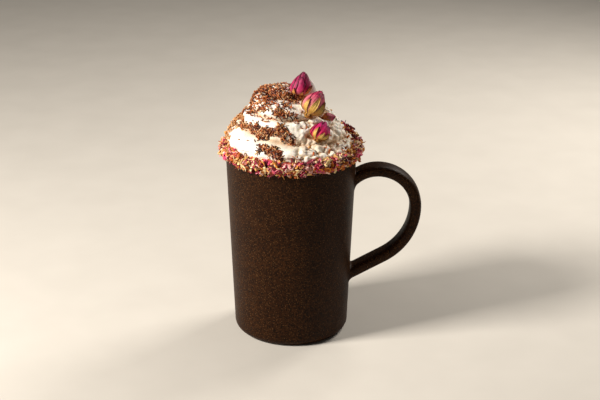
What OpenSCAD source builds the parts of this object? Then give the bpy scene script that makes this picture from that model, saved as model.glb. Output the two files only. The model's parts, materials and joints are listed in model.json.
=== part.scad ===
// Tall stoneware mug of hot chocolate, topped with a swirl of whipped cream,
// a crust of crumbled rose petals round the lip and four dried rosebuds.
// Millimetres, +Z up. The origin is the middle of the foot, and the handle points along +X.

/* [Mug] */
// Outside diameter at the lip
rim_d = 84; // [70:1:100]
// Outside diameter that the straight wall would have at the table
base_d = 74; // [60:1:90]
// Height of the mug, foot to lip
mug_h = 126; // [95:1:160]
// Thickness of the wall
wall = 4; // [3:0.5:6]
// Thickness of the floor, foot recess included
floor_t = 7; // [5:0.5:10]
// Rounding where the wall turns into the foot
foot_round = 5; // [2:0.5:8]
// Rounding inside, between floor and wall
well_round = 8; // [3:0.5:14]
// Width of the ring that the mug stands on
foot_ring_w = 4; // [3:0.5:7]
// Depth of the recess inside the foot ring
foot_recess = 1.5; // [0.5:0.25:2.5]

/* [Handle] */
// Thickness of the strap, seen from the side
strap_t = 7.6; // [6:0.2:10]
// Width of the strap, seen from the end
strap_w = 14; // [10:0.5:20]
// How far the handle reaches out from the wall at the lip
handle_reach = 42.4; // [30:0.2:50]
// Height of the handle's crest below the lip
crest_drop = 12.8; // [8:0.2:24]
// Radius of the handle's middle line at the crest
crest_arc_r = 25; // [20:0.5:30]
// Radius of the slow bend between the crest and the upper root
root_arc_r = 60; // [40:1:120]
// Radius of the handle's middle line down its side
side_arc_r = 39.6; // [32:0.2:48]
// Angle that the handle's side arc turns through
side_arc_a = 61; // [50:1:70]
// Size of the flare under the upper root
upper_root_web = 9; // [5:0.5:12]

/* [Hot chocolate] */
// Depth from the lip to the surface of the drink
drink_drop = 16; // [12:0.5:24]

/* [Whipped cream] */
// Height of the swirl above the lip
cream_h = 38; // [28:0.5:48]
// How far the swirl's ropes bulge out, largest turn
cream_bulge = 4.4; // [2:0.1:5]
// Height of the curdled lumps on the handle side
cream_lump = 1.3; // [0:0.1:2]

/* [Petal crust] */
// How far the crust stands out from the lip
crust_out = 4.4; // [2:0.1:6]
// How far the crust hangs down the outside wall
crust_hang = 5.5; // [3:0.1:9]
// How far the crust stands above the lip
crust_rise = 3.6; // [2:0.1:5]
// How much higher the crust is heaped at the back, beside the handle
crust_heap = 4.5; // [0:0.1:7]
// Gap between the crust and what it sits on
crust_gap = 0.2; // [0.15:0.05:0.3]

/* [Rosebuds] */
// Length and width of the upright bud on top
top_bud = [18, 12]; // [8:0.1:24]
// Length and width of the bud that leans towards the handle
leaning_bud = [19.5, 13.2]; // [8:0.1:24]
// Length and width of the bud low down in front
front_bud = [14, 11.2]; // [8:0.1:20]
// Length and width of the small bud that lies behind
back_bud = [10, 5.8]; // [5:0.1:16]

/* [Hidden] */

rim_r = rim_d / 2;
base_r = base_d / 2;
lip_r = wall / 2;
lip_mid_r = rim_r - lip_r;
drink_z = mug_h - drink_drop;
// Gap between the mug's inside and what fills it
fill_clear = 0.1;
arc_steps = 8;

mug_colour = [0.15, 0.12, 0.10];
drink_colour = [0.24, 0.12, 0.06];
cream_colour = [0.96, 0.93, 0.86];
crust_colour = [0.80, 0.38, 0.34];
bud_colour = [0.76, 0.18, 0.36];

// ---- shared helpers ----

// Outside radius of the wall at height z
function wall_r(z) = base_r + (rim_r - base_r) * z / mug_h;
// Inside radius of the wall at height z
function bore_r(z) = wall_r(z) - wall;
// Point on a circle round c, at angle a
function on_circle(c, r, a) = c + r * [cos(a), sin(a)];
// Points of an arc round c, from angle a0 to a1
function arc(c, r, a0, a1, steps = arc_steps) =
  [for (i = [0:steps]) on_circle(c, r, a0 + (a1 - a0) * i / steps)];
// Cosine or sine drawn out towards a rectangle, for a rounded strap
function squared(v, power) = sign(v) * pow(abs(v), power);
// Side faces between two rings of n points, where the first ring starts at point index first
function band(first, n) = [
  for (j = [0:n - 1]) let (a = first + j, b = first + (j + 1) % n)
    each [[a, b + n, b], [a, a + n, b + n]],
];
// Mean of a list of points
function middle(points) = [for (i = [1:len(points)]) 1] * points / len(points);

// A closed skin over a list of rings that rise along the axis they turn round anticlockwise
module loft(rings) {
  n = len(rings[0]);
  last = (len(rings) - 1) * n;
  foot = len(rings) * n;
  tip = foot + 1;
  polyhedron(
    points = [for (ring = rings) each ring, middle(rings[0]), middle(rings[len(rings) - 1])],
    faces = [
      for (i = [0:len(rings) - 2]) each band(i * n, n),
      for (j = [0:n - 1]) let (k = (j + 1) % n) each [[foot, j, k], [tip, last + k, last + j]],
    ],
    convexity = 6
  );
}

// ---- mug ----

// Slope of the outside wall, from the vertical
wall_lean = atan((rim_r - base_r) / mug_h);

// The mug's outside as a half outline: foot recess, foot ring, rounded foot, wall, round lip
function mug_outline() =
  let (
    foot_c = [wall_r(foot_round) - foot_round / cos(wall_lean), foot_round],
    ring_in = foot_c[0] - foot_ring_w
  ) concat(
    [[0, foot_recess], [ring_in - foot_recess, foot_recess], [ring_in, 0]],
    arc(foot_c, foot_round, -90, -wall_lean),
    arc([lip_mid_r, mug_h - lip_r], lip_r, -wall_lean, 90),
    [[0, mug_h]]
  );

// The space inside the mug as a half outline up to height z, set in from the walls by a clearance
function well_outline(z, clear = 0) =
  let (well_c = [bore_r(floor_t + well_round) - well_round / cos(wall_lean), floor_t + well_round]) concat(
    [[0, floor_t + clear]],
    arc(well_c, well_round - clear, -90, -wall_lean),
    [[bore_r(z) - clear, z], [0, z]]
  );

// The space inside, opened out over the round lip
function cavity_outline() =
  let (lip_c = [lip_mid_r, mug_h - lip_r], above = 1) concat(
    [for (p = well_outline(mug_h - lip_r)) if (p[0] > 0 || p[1] < mug_h / 2) p],
    [for (i = [1:arc_steps]) on_circle(lip_c, lip_r, 180 - 90 * i / arc_steps)],
    [[lip_mid_r, mug_h + above], [0, mug_h + above]]
  );

// The strap's middle line: a slow bend out of the wall, a crest arc, a wider side arc and a straight stub
strap_mid = strap_t / 2;
reach_x = rim_r + handle_reach - strap_mid;
crest_z = mug_h - crest_drop - strap_mid;
turn_z = crest_z - crest_arc_r;
crest_c = [reach_x - crest_arc_r, 0, turn_z];
side_c = [reach_x - side_arc_r, 0, turn_z];
// How deep the strap's ends go into the wall
root_sink = wall * 0.6;

// Section of the strap, thickness along X and width along Y, squarer than an ellipse
module strap_section() {
  sides = 20;
  roundness = 0.7;
  flat = squared(cos(180 / sides), roundness);
  polygon([for (j = [0:sides - 1]) let (a = 360 * (j + 0.5) / sides)
    [strap_mid / flat * squared(cos(a), roundness), strap_w / 2 / flat * squared(sin(a), roundness)]]);
}

// A stretch of strap bent round the origin in the X-Z plane, from angle a0 up to a1
module strap_arc(r, a0, a1) {
  rotate([90, 0, 0]) rotate([0, 0, a0]) rotate_extrude(angle = a1 - a0, $fn = 96)
    translate([r, 0]) strap_section();
}

// A straight stretch that leads back from an arc's end at angle a. It starts inside the arc, a hair slimmer.
module strap_stub(r, a, length) {
  inside = 0.5;
  slimmer = 0.99;
  rotate([90, 0, 0]) rotate([0, 0, a]) translate([r, inside, 0]) rotate([90, 0, 0])
    linear_extrude(length + inside) scale([slimmer, slimmer]) strap_section();
}

// The flare under the upper root: a web with a hollow arc that runs the strap into the wall
module root_web(corner, size) {
  translate(corner) rotate([90, 0, 0]) linear_extrude(strap_w * 0.7, center = true) difference() {
    translate([-root_sink, -size]) square([size + root_sink, size + strap_mid]);
    translate([size, -size]) circle(size, $fn = 64);
  }
}

module handle() {
  root_c = [crest_c[0], 0, crest_z - root_arc_r];
  root_a = asin((crest_c[0] - wall_r(crest_z) + root_sink) / root_arc_r);
  web_z = crest_z - root_arc_r * (1 - cos(root_a)) - strap_mid;
  low_end = side_c + side_arc_r * [cos(side_arc_a), 0, -sin(side_arc_a)];
  stub_l = (low_end[0] - wall_r(low_end[2]) + root_sink + strap_mid * cos(side_arc_a)) / sin(side_arc_a);
  translate(root_c) strap_arc(root_arc_r, 90, 90 + root_a);
  translate(crest_c) strap_arc(crest_arc_r, 0, 90);
  translate(side_c) mirror([0, 0, 1]) strap_arc(side_arc_r, 0, side_arc_a);
  translate(side_c) strap_stub(side_arc_r, -side_arc_a, stub_l);
  root_web([wall_r(web_z), 0, web_z], upper_root_web);
}

module mug() {
  color(mug_colour) difference() {
    union() {
      rotate_extrude($fn = 96) polygon(mug_outline());
      handle();
    }
    rotate_extrude($fn = 96) polygon(cavity_outline());
  }
}

// ---- hot chocolate ----

module hot_chocolate() {
  color(drink_colour) rotate_extrude($fn = 96) polygon(well_outline(drink_z, fill_clear));
}

// ---- whipped cream ----

// The swirl is a tapering mound. A climb of 0 degrees is the lip and 90 degrees is the peak.
cream_sides = 66;
cream_rows = 33;
cream_r = lip_mid_r - cream_bulge * 0.55;
// Half the gap between the cream and the crust over the middle of the lip
cream_clear = 0.15;
// How far below the middle of the lip the plug of cream inside the mug ends
plug_drop = 0.8;

// Climb at which each turn of the rope starts, on the side away from the handle
turn_starts = [[-3, 0], [38, 1], [49, 2], [72, 3], [95, 4]];
// Share of cream_bulge that each turn has
turn_bulges = [[-1, 0.8], [0, 1], [1, 0.62], [2, 0.9], [3, 0.4], [4, 0]];
// Lean of the mound away from the handle at each share of its height, as a share of its height
cream_lean = [[0, 0], [0.35, -0.07], [0.65, -0.11], [0.85, -0.16], [1, -0.2]];

function mound(climb) = [
  cream_r * pow(max(0, cos(climb)), 1.45),
  cream_h * pow(max(0, sin(climb)), 1.6),
];
// Outward normal of the mound's outline
function mound_normal(climb) =
  let (d = mound(min(90, climb + 1)) - mound(max(0, climb - 1)), n = [d[1], -d[0]]) n / norm(n);

// Bulge of the rope: round between two creases. side is an angle from 180 to 540 degrees.
function rope(climb, side) =
  let (
    turns = lookup(climb, turn_starts) + (side - 180) / 360,
    across = turns - floor(turns),
    along = floor(turns) - (side - 180) / 360
  ) cream_bulge * lookup(along, turn_bulges) * pow(max(0, 1 - pow(2 * across - 1, 2)), 0.75);

// Curdled lumps, strongest towards the handle and gone at the peak
function lump(climb, side) =
  cream_lump * pow(max(0, cos((side + 25) / 2)), 2) * cos(climb)
    * (sin(side * 7 + climb * 3) + sin(side * 4 - climb * 9)) / 2;

// Where the cream meets the lip: up out of the plug, a little narrower, and over to the middle of the lip
function cream_skirt() =
  let (lip_c = [lip_mid_r, mug_h - lip_r], r = lip_r + crust_gap) [
    lip_c - [r + plug_drop, 3 * plug_drop],
    lip_c - [r + plug_drop / 4, 0],
    on_circle(lip_c, r, 135),
    lip_c + [-cream_clear, r],
  ];

// A place in plan, drawn in to the given radius if it lies outside it
function held_in(place, limit) = norm(place) > limit ? place * limit / norm(place) : place;

function cream_point(climb, side) =
  let (
    out = rope(climb, side) + lump(climb, side),
    p = mound(climb) + out * mound_normal(climb),
    z = max(p[1], 0.5 + climb / 90),
    lean = cream_h * lookup(p[1] / cream_h, cream_lean),
    free = [p[0] * cos(side) + lean, p[0] * sin(side)],
    place = z < crust_rise * (1 + crust_unevenness) + 1 ? held_in(free, lip_mid_r - cream_clear) : free
  ) [place[0], place[1], mug_h + crust_gap + z];

module swirl() {
  first = 4;
  last = 87.5;
  sides = [for (j = [0:cream_sides - 1]) 180 + 360 * j / cream_sides];
  skirt = [for (p = cream_skirt()) [for (side = sides) [p[0] * cos(side), p[0] * sin(side), p[1]]]];
  rows = [for (i = [0:cream_rows - 1]) let (climb = first + (last - first) * i / (cream_rows - 1))
    [for (side = sides) cream_point(climb, side)]];
  loft(concat(skirt, rows));
}

// The blunt tip that the last squeeze leaves, on the handle side of the peak
module cream_tip() {
  sides = 20;
  rows = 8;
  foot = [6, 3, mug_h + cream_h * 0.6];
  lean = [3, 0.5, cream_h * 0.47];
  width = 10;
  loft([for (i = [0:rows]) let (t = 0.97 * i / rows)
    [for (j = [0:sides - 1]) let (a = 360 * j / sides)
      foot + t * lean + width * sqrt(1 - pow(t, 1.7)) * [cos(a), 0.8 * sin(a), 0]]]);
}

module cream_plug() {
  top = mug_h - lip_r - plug_drop;
  side = [for (z = [drink_z, top]) [bore_r(z) - fill_clear, z]];
  rotate_extrude($fn = 96) polygon(concat([[0, drink_z]], side, [[0, top]]));
}

module whipped_cream() {
  color(cream_colour) difference() {
    union() {
      cream_plug();
      swirl();
      cream_tip();
    }
    rosebud_top();
    rosebud_leaning();
    rosebud_front();
    rosebud_back();
  }
}

// ---- petal crust ----

crust_sides = 60;

// Share by which the crust's size goes up and down round the lip
crust_unevenness = 0.3;
// Heading of the heap, and the angle over which it dies away
crust_heap_a = 48;
crust_heap_spread = 34;

// An angle brought into the range from -180 to 180 degrees
function fold_angle(a) = a - 360 * round(a / 360);
// Slow, uneven change round the lip, from -1 to 1
function uneven(a, k) = (sin(a * 3 + k * 77) + sin(a * 7 + k * 131) + sin(a * 13 + k * 59)) / 3;

module petal_crust() {
  lip_c = [lip_mid_r, mug_h - lip_r];
  seat_r = lip_r + crust_gap;
  rings = [for (i = [0:crust_sides - 1]) let (
      a = -360 * i / crust_sides,
      hang = mug_h - crust_hang * (1 + crust_unevenness * uneven(a, 1)),
      out = crust_out * (1 + crust_unevenness * uneven(a, 2)),
      heap = crust_heap * exp(-pow(fold_angle(a - crust_heap_a) / crust_heap_spread, 2)),
      top = mug_h + crust_rise * (1 + crust_unevenness * uneven(a, 3)) + heap
    ) [for (p = [
      [wall_r(hang) + crust_gap, hang],
      [wall_r(hang) + out * 0.55, hang + 0.8],
      [rim_r + out * 0.95, mug_h - 2],
      [rim_r + out, mug_h],
      [rim_r + out * 0.6, mug_h + (top - mug_h) * 0.7],
      [rim_r - lip_r * 0.4, top],
      [lip_mid_r + cream_clear, top - 0.8],
      lip_c + [cream_clear, seat_r],
      for (seat_a = [67.5, 45, 22.5, 0]) on_circle(lip_c, seat_r, seat_a),
    ]) [p[0] * cos(a), p[0] * sin(a), p[1]]]];
  n = len(rings[0]);
  color(crust_colour) polyhedron(
    points = [for (ring = rings) each ring],
    faces = [
      for (i = [0:crust_sides - 1], j = [0:n - 1]) let (
          a = i * n + j,
          b = i * n + (j + 1) % n,
          c = (a + n) % (crust_sides * n),
          d = (b + n) % (crust_sides * n)
        ) each [[a, d, b], [a, c, d]],
    ],
    convexity = 6
  );
}

// ---- dried rosebuds ----

// A bud standing on the origin: round hip, full belly, five petals wound round to a point
module rosebud(length, width) {
  sides = 20;
  rows = 11;
  hip_share = 0.16;
  rings = [for (i = [0:rows]) let (
      t = i / rows,
      belly = t < hip_share
        ? 0.30 + 0.12 * sin(180 * t / hip_share)
        : 0.30 + 0.70 * pow(sin(180 * pow((t - hip_share) / (1 - hip_share), 0.72)), 0.8) * (1 - 0.12 * t)
          - 0.26 * pow((t - hip_share) / (1 - hip_share), 3),
      fold = 0.09 * sin(180 * t)
    ) [for (j = [0:sides - 1]) let (
        a = 360 * j / sides,
        r = width / 2 * belly * (1 + fold * cos(5 * a + 160 * t))
      ) [r * cos(a), r * sin(a), length * t]]];
  loft(rings);
}

// A bud pressed into the cream's surface at a climb and heading, with its tip pointing along a direction
module bud_on_cream(size, climb, side, along, sink) {
  way = along / norm(along);
  translate(cream_point(climb, side) - sink * way)
    rotate([0, acos(way[2]), atan2(way[1], way[0])]) rosebud(size[0], size[1]);
}

module rosebud_top() {
  color(bud_colour) bud_on_cream(top_bud, 63.5, 342, [-0.3, 0.4, 18], 1.5);
}

module rosebud_leaning() {
  color(bud_colour) bud_on_cream(leaning_bud, 47, 308, [8.2, 6.5, 15], 1);
}

module rosebud_front() {
  color(bud_colour) bud_on_cream(front_bud, 28, 304, [4, 4.5, 10], 1.5);
}

module rosebud_back() {
  color(bud_colour) bud_on_cream(back_bud, 40, 340, [9.6, 3, 0.6], 4);
}

mug();
hot_chocolate();
whipped_cream();
petal_crust();
rosebud_top();
rosebud_leaning();
rosebud_front();
rosebud_back();
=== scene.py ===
# %% [markdown]
# # A mug of hot chocolate
# A tall stoneware mug is filled to the lip. A swirl of whipped cream stands on it, strewn with
# grated chocolate and set with four dried rosebuds, and the lip wears a crust of crumbled rose
# petals. The CAD frame says where each piece is. Blender makes it as fine as the real one there.

# %% Load the fixed frame
import json
import math
import random

import bmesh
import bpy
import numpy as np
from mathutils import Matrix, Vector, noise

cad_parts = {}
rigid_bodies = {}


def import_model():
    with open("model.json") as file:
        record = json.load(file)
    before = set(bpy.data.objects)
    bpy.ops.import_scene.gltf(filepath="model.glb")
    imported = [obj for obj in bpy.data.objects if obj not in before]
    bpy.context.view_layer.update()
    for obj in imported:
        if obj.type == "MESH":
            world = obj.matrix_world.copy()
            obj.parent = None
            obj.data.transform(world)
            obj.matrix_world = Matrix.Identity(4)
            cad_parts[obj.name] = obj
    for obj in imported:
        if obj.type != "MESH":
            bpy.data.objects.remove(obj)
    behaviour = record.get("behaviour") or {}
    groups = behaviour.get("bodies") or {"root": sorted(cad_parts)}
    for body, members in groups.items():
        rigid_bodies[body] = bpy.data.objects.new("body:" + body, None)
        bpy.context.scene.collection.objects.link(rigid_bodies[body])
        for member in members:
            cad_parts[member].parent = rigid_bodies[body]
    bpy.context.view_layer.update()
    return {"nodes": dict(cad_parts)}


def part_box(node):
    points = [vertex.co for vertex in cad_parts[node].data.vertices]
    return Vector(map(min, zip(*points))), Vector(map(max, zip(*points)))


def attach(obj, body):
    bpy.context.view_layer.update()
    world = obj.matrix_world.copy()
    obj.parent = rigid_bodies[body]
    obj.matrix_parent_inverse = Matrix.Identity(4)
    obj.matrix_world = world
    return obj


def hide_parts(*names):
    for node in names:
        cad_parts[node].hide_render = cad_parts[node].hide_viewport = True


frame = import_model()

MM = 0.001
NOISE_SEED = 5
noise.seed_set(NOISE_SEED)  # noise vectors would follow the clock otherwise
mug_low, mug_high = (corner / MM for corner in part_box("mug"))
rim_r = -mug_low.x
mug_h = mug_high.z
drink_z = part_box("hot_chocolate")[1].z / MM
print(f"lip radius {rim_r:.1f} mm, mug height {mug_h:.1f} mm, drink up to {drink_z:.1f} mm")

# %% [markdown]
# ## Shared helpers
# All pieces are drawn in millimetres and scaled to metres once, at the end. The object then stays
# at the origin, unturned and unscaled, so patterns that read Object coordinates stay in place.

# %% Turn a finished bmesh into a piece of the object
def new_mesh(name, bm):
    """A mesh that takes over what a bmesh holds."""
    mesh = bpy.data.meshes.new(name)
    bm.to_mesh(mesh)
    bm.free()
    return mesh


def new_object(name, data):
    """An object in the scene that holds a mesh, a lamp or a camera."""
    made = bpy.data.objects.new(name, data)
    bpy.context.scene.collection.objects.link(made)
    return made


def finish_piece(bm, name, material, stands_for=()):
    """Scales a bmesh to metres, makes an object of it and lets it ride with the mug."""
    open_edges = sum(1 for edge in bm.edges if not edge.is_manifold)
    bmesh.ops.scale(bm, vec=(MM, MM, MM), verts=bm.verts)
    mesh = new_mesh(name, bm)
    mesh.shade_smooth()
    mesh.materials.append(material)
    piece = new_object(name, mesh)
    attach(piece, "root")
    if stands_for:
        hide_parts(*stands_for)
    triangles = sum(len(p.vertices) - 2 for p in mesh.polygons)
    print(f"{name}: {triangles} triangles, {open_edges} open edges")
    return piece


# %% Small pieces of mathematics
def squared(value, power):
    """A cosine or sine drawn out towards a rectangle."""
    return math.copysign(abs(value) ** power, value)


def ramp_up(low, high, value):
    """0 below low, 1 above high, and a smooth S between them."""
    share = min(1.0, max(0.0, (value - low) / (high - low)))
    return share * share * (3 - 2 * share)


def arc(centre_r, centre_z, radius, start, end, steps):
    """Points of an arc in an outline, in degrees, each a radius and a height."""
    angles = [math.radians(start + (end - start) * i / steps) for i in range(steps + 1)]
    return [(centre_r + radius * math.cos(a), centre_z + radius * math.sin(a)) for a in angles]


def line_distance(place, start, end):
    """How far a place is from a straight line between two points."""
    along = end - start
    share = min(1.0, max(0.0, (place - start).dot(along) / along.length_squared))
    return (place - start - share * along).length


# %% [markdown]
# ## Materials
# Each material is a Principled shader fed by procedural patterns with real sizes. Colours are
# written as sRGB hex values, and one function turns them to the linear light of the shader.

# %% Colour, node and material helpers
MIX_FACTOR, MIX_A, MIX_B, MIX_RESULT = 0, 6, 7, 2  # colour sockets of the Mix node
PLANT_IOR = 1.45


def linear(hex_colour):
    """An sRGB hex colour as linear red, green, blue and alpha."""
    parts = [int(hex_colour[i:i + 2], 16) / 255 for i in (1, 3, 5)]
    return [c / 12.92 if c <= 0.04045 else ((c + 0.055) / 1.055) ** 2.4 for c in parts] + [1.0]


def per_metre(size_mm):
    """Scale of a pattern whose repeat is a size in millimetres."""
    return 1 / (size_mm * MM)


def add_node(material, kind, inputs=None, stops=None, **settings):
    """Adds a node and links or sets its inputs. stops are a ramp's places and colours."""
    node = material.node_tree.nodes.new("ShaderNode" + kind)
    for name, value in settings.items():
        setattr(node, name, value)
    for socket, value in (inputs or {}).items():
        if isinstance(value, bpy.types.NodeSocket):
            material.node_tree.links.new(value, node.inputs[socket])
        else:
            node.inputs[socket].default_value = value
    if stops:
        ramp = node.color_ramp
        for place, colour in stops[1:-1]:
            ramp.elements.new(place)
        for element, (place, colour) in zip(ramp.elements, stops):
            element.position = place
            element.color = linear(colour)
    return node


def new_material(name, colour_hex, **sockets):
    """A material and its Principled shader, with constants on the shader's own sockets."""
    material = bpy.data.materials.new(name)
    material.use_nodes = True
    shader = material.node_tree.nodes["Principled BSDF"]
    shader.inputs["Base Color"].default_value = linear(colour_hex)
    for socket, value in sockets.items():
        shader.inputs[socket.replace("_", " ")].default_value = value
    material.diffuse_color = linear(colour_hex)
    return material, shader


def connect(material, output, socket):
    """Links an output to a socket."""
    material.node_tree.links.new(output, socket)


# %% The few patterns that every material here is made of
def object_place(material):
    """The Object coordinates, which stay with the piece."""
    return add_node(material, "TexCoord").outputs["Object"]


def noise_of(material, place, size_mm, detail, roughness=0.5):
    """A noise whose blotches have a size in millimetres."""
    inputs = {"Vector": place, "Scale": per_metre(size_mm), "Detail": detail, "Roughness": roughness}
    return add_node(material, "TexNoise", inputs).outputs["Fac"]


def remapped(material, value, old, new=(0.0, 1.0)):
    """A value led from an old range to a new one, and held inside it."""
    inputs = {"Value": value, "From Min": old[0], "From Max": old[1], "To Min": new[0], "To Max": new[1]}
    return add_node(material, "MapRange", inputs).outputs["Result"]


def joined_by(material, operation, first, second):
    """Two values added, multiplied or compared."""
    return add_node(material, "Math", {0: first, 1: second}, operation=operation).outputs[0]


def ramp_of(material, value, stops):
    """The colour of a ramp at a value."""
    return add_node(material, "ValToRGB", {"Fac": value}, stops=stops).outputs["Color"]


def painted_over(material, share, under, over_hex):
    """A colour with another one laid over a share of it."""
    inputs = {MIX_FACTOR: share, MIX_A: under, MIX_B: linear(over_hex)}
    return add_node(material, "Mix", inputs, data_type="RGBA").outputs[MIX_RESULT]


def dress(material, shader, colour, height, strength, depth_mm):
    """Gives a shader its colour, and a bump of a depth in millimetres."""
    bump = add_node(material, "Bump", {"Height": height, "Strength": strength, "Distance": depth_mm * MM})
    connect(material, colour, shader.inputs["Base Color"])
    connect(material, bump.outputs["Normal"], shader.inputs["Normal"])


# %% [markdown]
# ### Stoneware
# The mug is thrown or jiggered stoneware under a matt iron-brown glaze. Iron breaks through the
# glaze as fine sandy specks, and the unpolished surface scatters light, so it shows only a dull,
# broad gloss. A slow noise gives the mottle, Voronoi cells give the specks, and both lift the
# surface a little.

# %% Stoneware material
stoneware, glaze = new_material("matt_iron_stoneware", "#301908", IOR=1.5, Specular_IOR_Level=0.08)
place = object_place(stoneware)
mottle = noise_of(stoneware, place, size_mm=16, detail=4.0, roughness=0.6)
clay_colour = ramp_of(stoneware, mottle, [(0.3, "#2a1507"), (0.5, "#301908"), (0.7, "#371e0b")])
grit = noise_of(stoneware, place, size_mm=1.1, detail=2.0, roughness=0.7)
pits = remapped(stoneware, grit, (0.4, 0.54), (0.9, 0.0))
pitted = painted_over(stoneware, pits, clay_colour, "#100602")
specks = add_node(stoneware, "TexVoronoi", {"Vector": place, "Scale": per_metre(0.85)})
speck_size = remapped(stoneware, specks.outputs["Distance"], (0.2, 0.42), (1.0, 0.0))
speck_kind = add_node(stoneware, "SeparateColor", {"Color": specks.outputs["Color"]}).outputs[0]
speck_share = remapped(stoneware, speck_kind, (0.3, 1.0), (0.0, 0.75))
speck_mask = joined_by(stoneware, "MULTIPLY", speck_size, speck_share)
speckled = painted_over(stoneware, speck_mask, pitted, "#74502c")
grit_height = joined_by(stoneware, "ADD", grit, speck_mask)
dress(stoneware, glaze, speckled, grit_height, strength=0.8, depth_mm=0.2)
connect(stoneware, remapped(stoneware, grit, (0.3, 0.7), (0.4, 0.56)), glaze.inputs["Roughness"])

# %% [markdown]
# ### Hot chocolate
# The drink is milk coloured with cocoa. Little of it ever shows, but it still gets its own
# finish: a slow cloudiness, a faint skin and a wet gloss.

# %% Drink material
drink_liquid, drink_shader = new_material("milk_cocoa", "#5a3018", Roughness=0.22, IOR=1.35)
place = object_place(drink_liquid)
clouds = noise_of(drink_liquid, place, size_mm=12, detail=3.0)
cocoa_colour = ramp_of(drink_liquid, clouds, [(0.3, "#4c2713"), (0.7, "#6e3f22")])
froth = add_node(drink_liquid, "TexVoronoi", {"Vector": place, "Scale": per_metre(1.2)})
dress(drink_liquid, drink_shader, cocoa_colour, froth.outputs["Distance"], strength=0.25, depth_mm=0.1)

# %% [markdown]
# ### Whipped cream
# Whipped cream is a foam of fat and air. Light goes in a few millimetres and comes out again,
# which keeps its shadows soft and warm. Two attributes that the mesh carries steer the colour:
# crease is 1 in the folds, where the colour is darkened as painted shade, and cocoa is 1 where chocolate dust
# lies.

# %% Cream material
cream, cream_shader = new_material(
    "whipped_cream_foam", "#fff8ec", Roughness=0.5, IOR=1.4, Subsurface_Weight=0.12,
    Subsurface_Scale=1.8 * MM, Subsurface_Radius=(1.0, 0.7, 0.45))
place = object_place(cream)
crease = add_node(cream, "Attribute", attribute_name="crease").outputs["Fac"]
dust = add_node(cream, "Attribute", attribute_name="cocoa").outputs["Fac"]
# The crease attribute darkens the cream towards tan: painted shade in the folds and between the curds.
crease_shaded_cream = ramp_of(cream, crease, [(0.0, "#fff8ee"), (0.45, "#f4e2ca"), (1.0, "#c8996a")])
dust_grain = noise_of(cream, place, size_mm=0.9, detail=4.0, roughness=0.7)
dust_share = joined_by(cream, "MULTIPLY", remapped(cream, dust_grain, (0.42, 0.66)), dust)
dusted = painted_over(cream, dust_share, crease_shaded_cream, "#b4713c")
foam = noise_of(cream, place, size_mm=1.1, detail=4.0, roughness=0.6)
dress(cream, cream_shader, dusted, foam, strength=0.35, depth_mm=0.3)

# %% [markdown]
# ### Dried plant and chocolate
# Crumbled petals and chocolate shavings differ in colour from one bit to the next. The mesh
# carries an attribute, tone, one number for each bit, and a ramp turns it into that bit's own
# shade. A fine noise adds the veins and blotches within a bit.

# %% Material for small bits with their own tone
def bit_material(name, shades, roughness, blotch_mm):
    """Thin dry bits: their tone picks a shade from dark to light, and blotches vary it."""
    material, shader = new_material(name, shades[len(shades) // 2], Roughness=roughness, IOR=PLANT_IOR)
    tone = add_node(material, "Attribute", attribute_name="tone").outputs["Fac"]
    blotch = noise_of(material, object_place(material), blotch_mm, detail=3.0, roughness=0.65)
    shade = joined_by(material, "ADD", tone, remapped(material, blotch, (0.3, 0.7), (-0.3, 0.3)))
    step = 1 / (len(shades) - 1)
    colour = ramp_of(material, shade, [(i * step, shade_hex) for i, shade_hex in enumerate(shades)])
    dress(material, shader, colour, blotch, strength=0.5, depth_mm=0.2)
    return material


# %% Petal crumbs come in five colours, chocolate in three
petal_materials = {
    "pink": bit_material("dried_rose_petal_pink", ["#8a1438", "#d63a66", "#ea6886", "#f59ca8"], 0.7, 0.8),
    "blush": bit_material("dried_rose_petal_blush", ["#d98684", "#f4bcb2", "#fde0d0"], 0.75, 0.9),
    "orange": bit_material("dried_petal_orange", ["#9c4210", "#de7a20", "#f2a446", "#f8c878"], 0.7, 0.8),
    "straw": bit_material("dried_petal_straw", ["#c2944c", "#efcd88", "#fdeabe"], 0.75, 0.9),
    "maroon": bit_material("dried_rose_petal_maroon", ["#2c0709", "#5e1018", "#8f2026"], 0.65, 0.8),
}
packed_crumbs = bit_material(
    "packed_petal_crumbs", ["#3a0a10", "#8a1e38", "#b5502a", "#d29a58"], 0.75, 0.9)
chocolate_materials = {
    "dark": bit_material("dark_chocolate", ["#1e0803", "#3c1306", "#5e220d"], 0.42, 0.6),
    "milk": bit_material("milk_chocolate", ["#6a270b", "#9c4819", "#c06c33"], 0.45, 0.6),
    # The pale shavings are painted highlight: the bright look of lit shavings.
    "pale": bit_material("pale_chocolate_painted_highlight", ["#b0703a", "#d2965c", "#edc596"], 0.5, 0.6),
}

# %% [markdown]
# ## The mug
# A mug like this is thrown on a wheel, so its body is one outline turned about an axis: foot
# recess, foot ring, rounded foot, leaning wall, round lip, and the well inside. The Spin operator
# does what the wheel does. A Screw modifier could too, but here the poles are merged at once.

# %% Sizes of the mug, the same as in the CAD model
base_r = 37.0
wall = 4.0
floor_t = 7.0
foot_round = 5.0
well_round = 8.0
foot_ring_w = 4.0
foot_recess = 1.5
lip_r = wall / 2
lip_mid_r = rim_r - lip_r
wall_lean = math.degrees(math.atan((rim_r - base_r) / mug_h))
AROUND_MUG = 144
WALL_ROWS = 22


def wall_r(z):
    """Outside radius of the wall at height z."""
    return base_r + (rim_r - base_r) * z / mug_h


def bore_r(z):
    """Inside radius of the wall at height z."""
    return wall_r(z) - wall


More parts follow.
